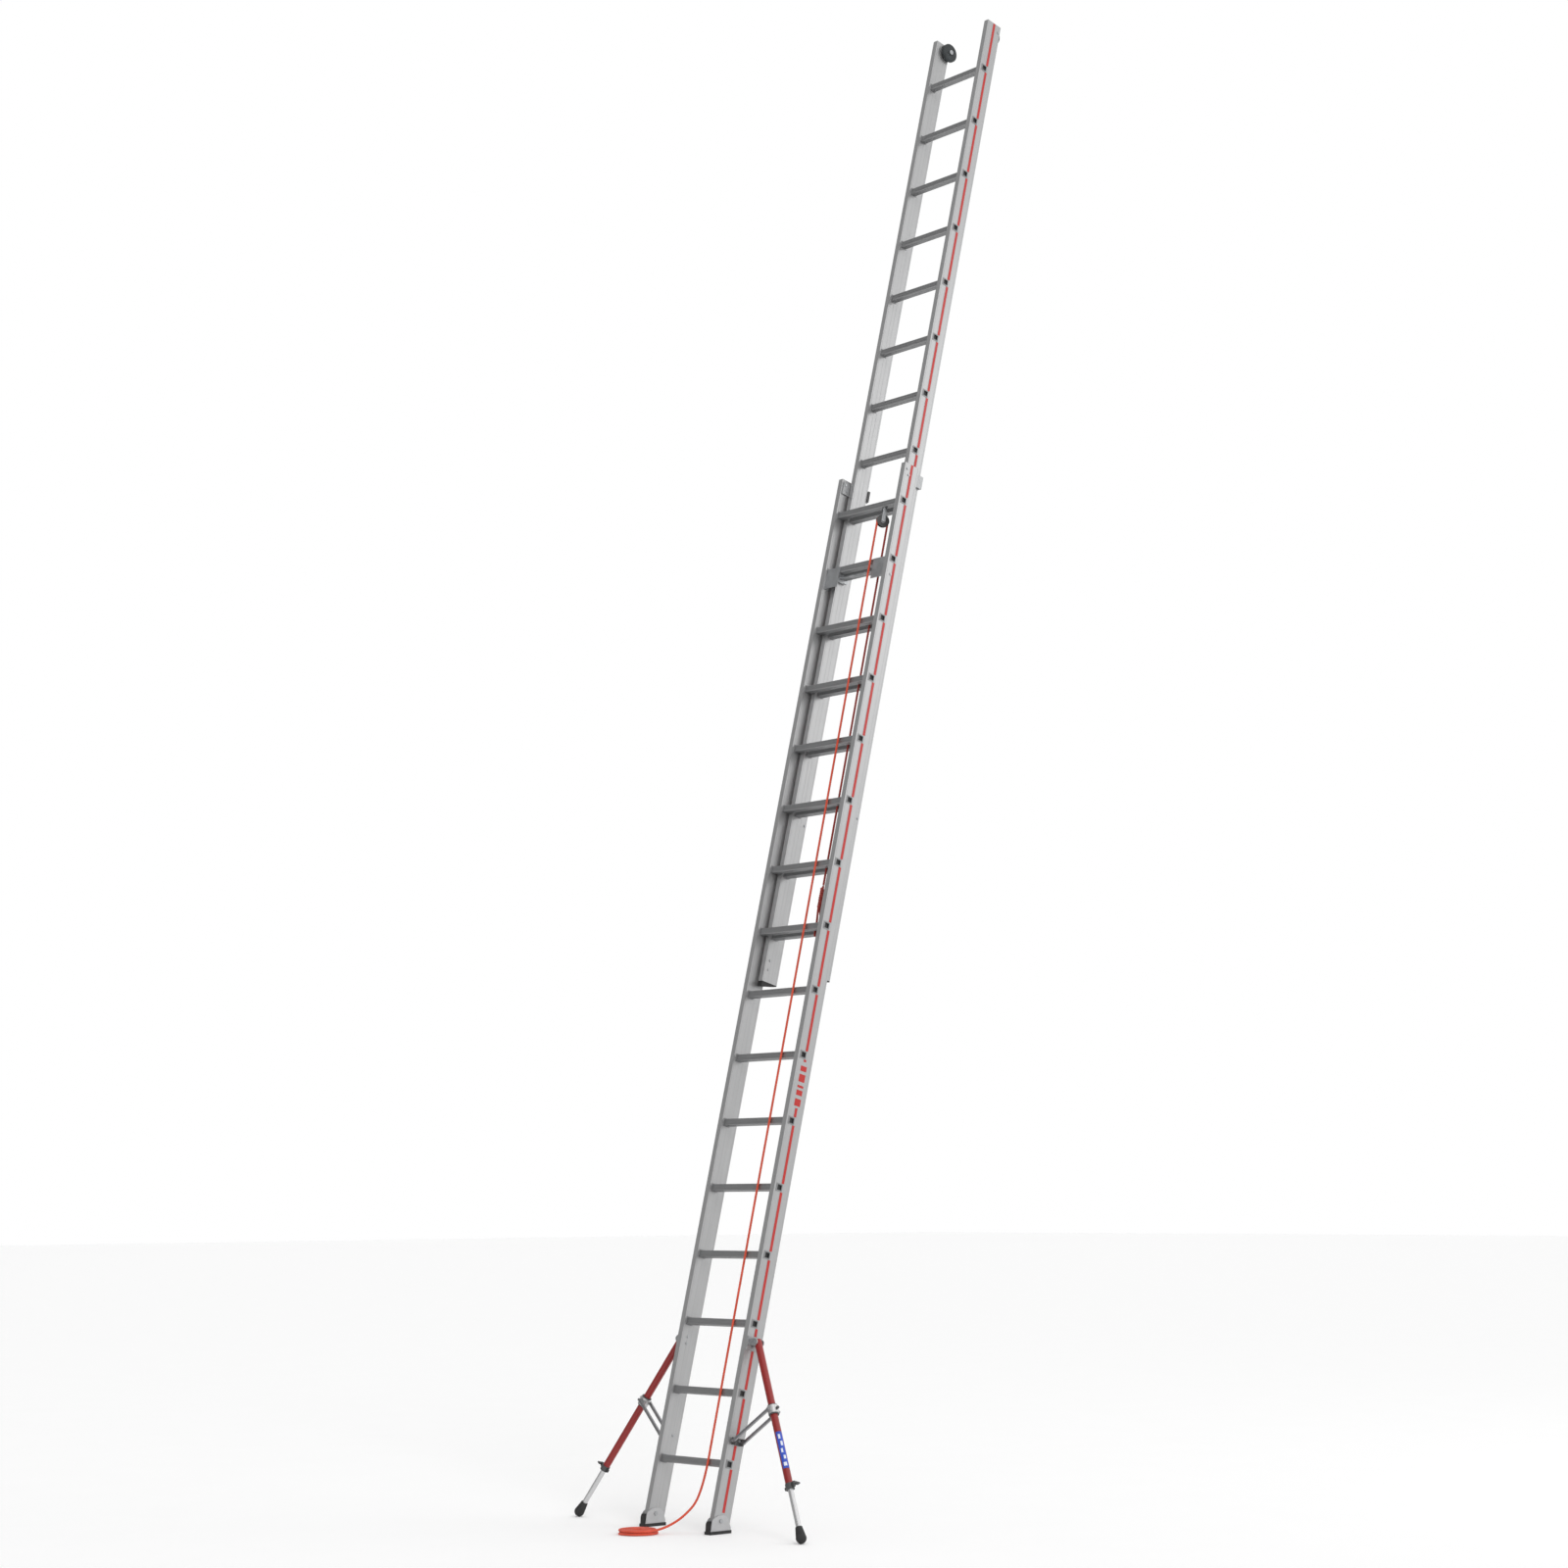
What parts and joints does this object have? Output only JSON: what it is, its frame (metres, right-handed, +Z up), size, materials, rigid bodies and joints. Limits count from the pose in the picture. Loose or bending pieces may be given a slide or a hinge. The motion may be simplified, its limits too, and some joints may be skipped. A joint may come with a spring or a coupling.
{
  "type": "rope-operated extension ladder",
  "caption": "Leaning rope-operated extension ladder with square rungs, wall wheels, a latch, a rope pulley, folding telescopic side legs and tilting rubber shoes.",
  "frame": {"origin": "on the floor, midway between the base stiles, under the front face of the base section", "axes": "+X to the climber's right, +Y towards the wall, +Z up; the stiles lean 14.1 degrees from +Z towards +Y"},
  "size_m": [1.4162, 2.1117, 6.7384],
  "materials": {
    "aluminium": "satin, lengthwise extrusion lines",
    "black_plastic": "moulded, fine grain",
    "red_stripe": "self-adhesive strip",
    "cast_grey": "bead-blasted casting",
    "zinc_steel": "zinc plated",
    "yellow_zinc": "yellow passivated",
    "red_paint": "powder coat",
    "black_rubber": "matte",
    "rope_orange": "laid or braided cord"
  },
  "bodies": {
    "base": {"base_stile_left": "aluminium", "base_stile_right": "aluminium", "base_rungs": "aluminium", "base_rung_collars": "aluminium", "base_rung_plugs": "black_plastic", "base_stripes": "red_stripe", "base_guides": "cast_grey", "base_guide_pads": "black_plastic", "base_bolts": "zinc_steel", "pulley_bracket": "zinc_steel", "pulley_axle": "zinc_steel", "latch_brackets": "zinc_steel", "latch_springs": "yellow_zinc", "leg_brackets": "zinc_steel", "leg_pivot_bolts": "zinc_steel", "strut_blocks": "black_plastic", "shoe_bolts": "zinc_steel", "rope_over_sheave": "rope_orange", "rope_rear": "rope_orange", "rope_front": "rope_orange", "rope_coil": "rope_orange"},
    "fly": {"fly_stile_left": "aluminium", "fly_stile_right": "aluminium", "fly_rungs": "aluminium", "fly_rung_collars": "aluminium", "fly_rung_plugs": "black_plastic", "fly_stripes": "red_stripe", "fly_top_caps": "cast_grey", "fly_bottom_caps": "black_plastic", "fly_sliders": "black_plastic", "fly_bolts": "zinc_steel", "wheel_axles": "zinc_steel", "rope_knot": "rope_orange"},
    "sheave": {"pulley_sheave": "black_plastic"},
    "latch": {"latch_shaft": "zinc_steel", "latch_hooks": "zinc_steel"},
    "wheel_right": {"wall_wheel_right": "black_rubber"},
    "leg_right": {"leg_tube_right": "red_paint", "leg_clamp_right": "black_plastic"},
    "knob_right": {"leg_knob_right": "black_plastic"},
    "inner_leg_right": {"leg_inner_tube_right": "aluminium", "leg_foot_right": "black_rubber"},
    "collar_right": {"collar_right": "cast_grey", "collar_bush_right": "black_plastic", "collar_pin_right": "zinc_steel"},
    "brace_right": {"struts_right": "aluminium"},
    "shoe_right": {"shoe_shell_right": "zinc_steel", "shoe_sole_right": "black_rubber"},
    "wheel_left": {"wall_wheel_left": "black_rubber"},
    "leg_left": {"leg_tube_left": "red_paint", "leg_clamp_left": "black_plastic"},
    "knob_left": {"leg_knob_left": "black_plastic"},
    "inner_leg_left": {"leg_inner_tube_left": "aluminium", "leg_foot_left": "black_rubber"},
    "collar_left": {"collar_left": "cast_grey", "collar_bush_left": "black_plastic", "collar_pin_left": "zinc_steel"},
    "brace_left": {"struts_left": "aluminium"},
    "shoe_left": {"shoe_shell_left": "zinc_steel", "shoe_sole_left": "black_rubber"}
  },
  "joints": [
    {"name": "fly_slide", "type": "slide", "parent": "base", "child": "fly", "axis": [0, 0.2436, 0.9699], "range_m": [-2.24, 1.12], "deforming": ["rope_rear"]},
    {"name": "sheave_spin", "type": "hinge", "parent": "base", "child": "sheave", "pos_m": [0.101, 1.09955, 4.26255], "axis": [0.9063, -0.4099, 0.103], "continuous": true},
    {"name": "latch_swing", "type": "hinge", "parent": "base", "child": "latch", "pos_m": [0, 1.04302, 4.0293], "axis": [1, 0, 0], "range_deg": [-75, 0], "stiffness_Nm_per_rad": 0.5, "springref_deg": 34.38},
    {"name": "wheel_spin_right", "type": "hinge", "parent": "fly", "child": "wheel_right", "pos_m": [0.142, 1.80366, 6.6881], "axis": [1, 0, 0], "continuous": true},
    {"name": "leg_fold_right", "type": "hinge", "parent": "base", "child": "leg_right", "pos_m": [0.24, 0.22832, 0.73451], "axis": [0, 0.9699, -0.2436], "range_deg": [0, 31.3]},
    {"name": "brace_fold_right", "type": "hinge", "parent": "base", "child": "brace_right", "pos_m": [0.228, 0.13184, 0.35044], "axis": [0, 0.9699, -0.2436], "range_deg": [-49.2, 0.1]},
    {"name": "collar_slide_right", "type": "slide", "parent": "leg_right", "child": "collar_right", "axis": [-0.5195, 0.2082, 0.8287], "range_m": [-0.0005, 0.1295]},
    {"name": "inner_leg_slide_right", "type": "slide", "parent": "leg_right", "child": "inner_leg_right", "axis": [0.5195, -0.2082, -0.8287], "range_m": [-0.155, 0.12]},
    {"name": "knob_turn_right", "type": "hinge", "parent": "leg_right", "child": "knob_right", "pos_m": [0.59489, 0.09784, 0.21507], "axis": [0.8545, 0.1266, 0.5039], "range_deg": [0, 90]},
    {"name": "shoe_tilt_right", "type": "hinge", "parent": "base", "child": "shoe_right", "pos_m": [0.2025, 0.04953, 0.04942], "axis": [1, 0, 0], "range_deg": [-15, 15]},
    {"name": "wheel_spin_left", "type": "hinge", "parent": "fly", "child": "wheel_left", "pos_m": [-0.142, 1.80366, 6.6881], "axis": [1, 0, 0], "continuous": true},
    {"name": "leg_fold_left", "type": "hinge", "parent": "base", "child": "leg_left", "pos_m": [-0.24, 0.22832, 0.73451], "axis": [0, -0.9699, 0.2436], "range_deg": [0, 31.3]},
    {"name": "brace_fold_left", "type": "hinge", "parent": "base", "child": "brace_left", "pos_m": [-0.228, 0.13184, 0.35044], "axis": [0, -0.9699, 0.2436], "range_deg": [-49.2, 0.1]},
    {"name": "collar_slide_left", "type": "slide", "parent": "leg_left", "child": "collar_left", "axis": [0.5195, 0.2082, 0.8287], "range_m": [-0.0005, 0.1295]},
    {"name": "inner_leg_slide_left", "type": "slide", "parent": "leg_left", "child": "inner_leg_left", "axis": [-0.5195, -0.2082, -0.8287], "range_m": [-0.155, 0.12]},
    {"name": "knob_turn_left", "type": "hinge", "parent": "leg_left", "child": "knob_left", "pos_m": [-0.59489, 0.09784, 0.21507], "axis": [-0.8545, 0.1266, 0.5039], "range_deg": [0, 90]},
    {"name": "shoe_tilt_left", "type": "hinge", "parent": "base", "child": "shoe_left", "pos_m": [-0.2025, 0.04953, 0.04942], "axis": [1, 0, 0], "range_deg": [-15, 15]}
  ],
  "couplings": [
    {"joint": "brace_fold_right", "follows": "leg_fold_right", "ratio": -1.5687},
    {"joint": "collar_slide_right", "follows": "leg_fold_right", "m_per_rad": 0.2361},
    {"joint": "brace_fold_left", "follows": "leg_fold_left", "ratio": -1.5687},
    {"joint": "collar_slide_left", "follows": "leg_fold_left", "m_per_rad": 0.2361}
  ]
}
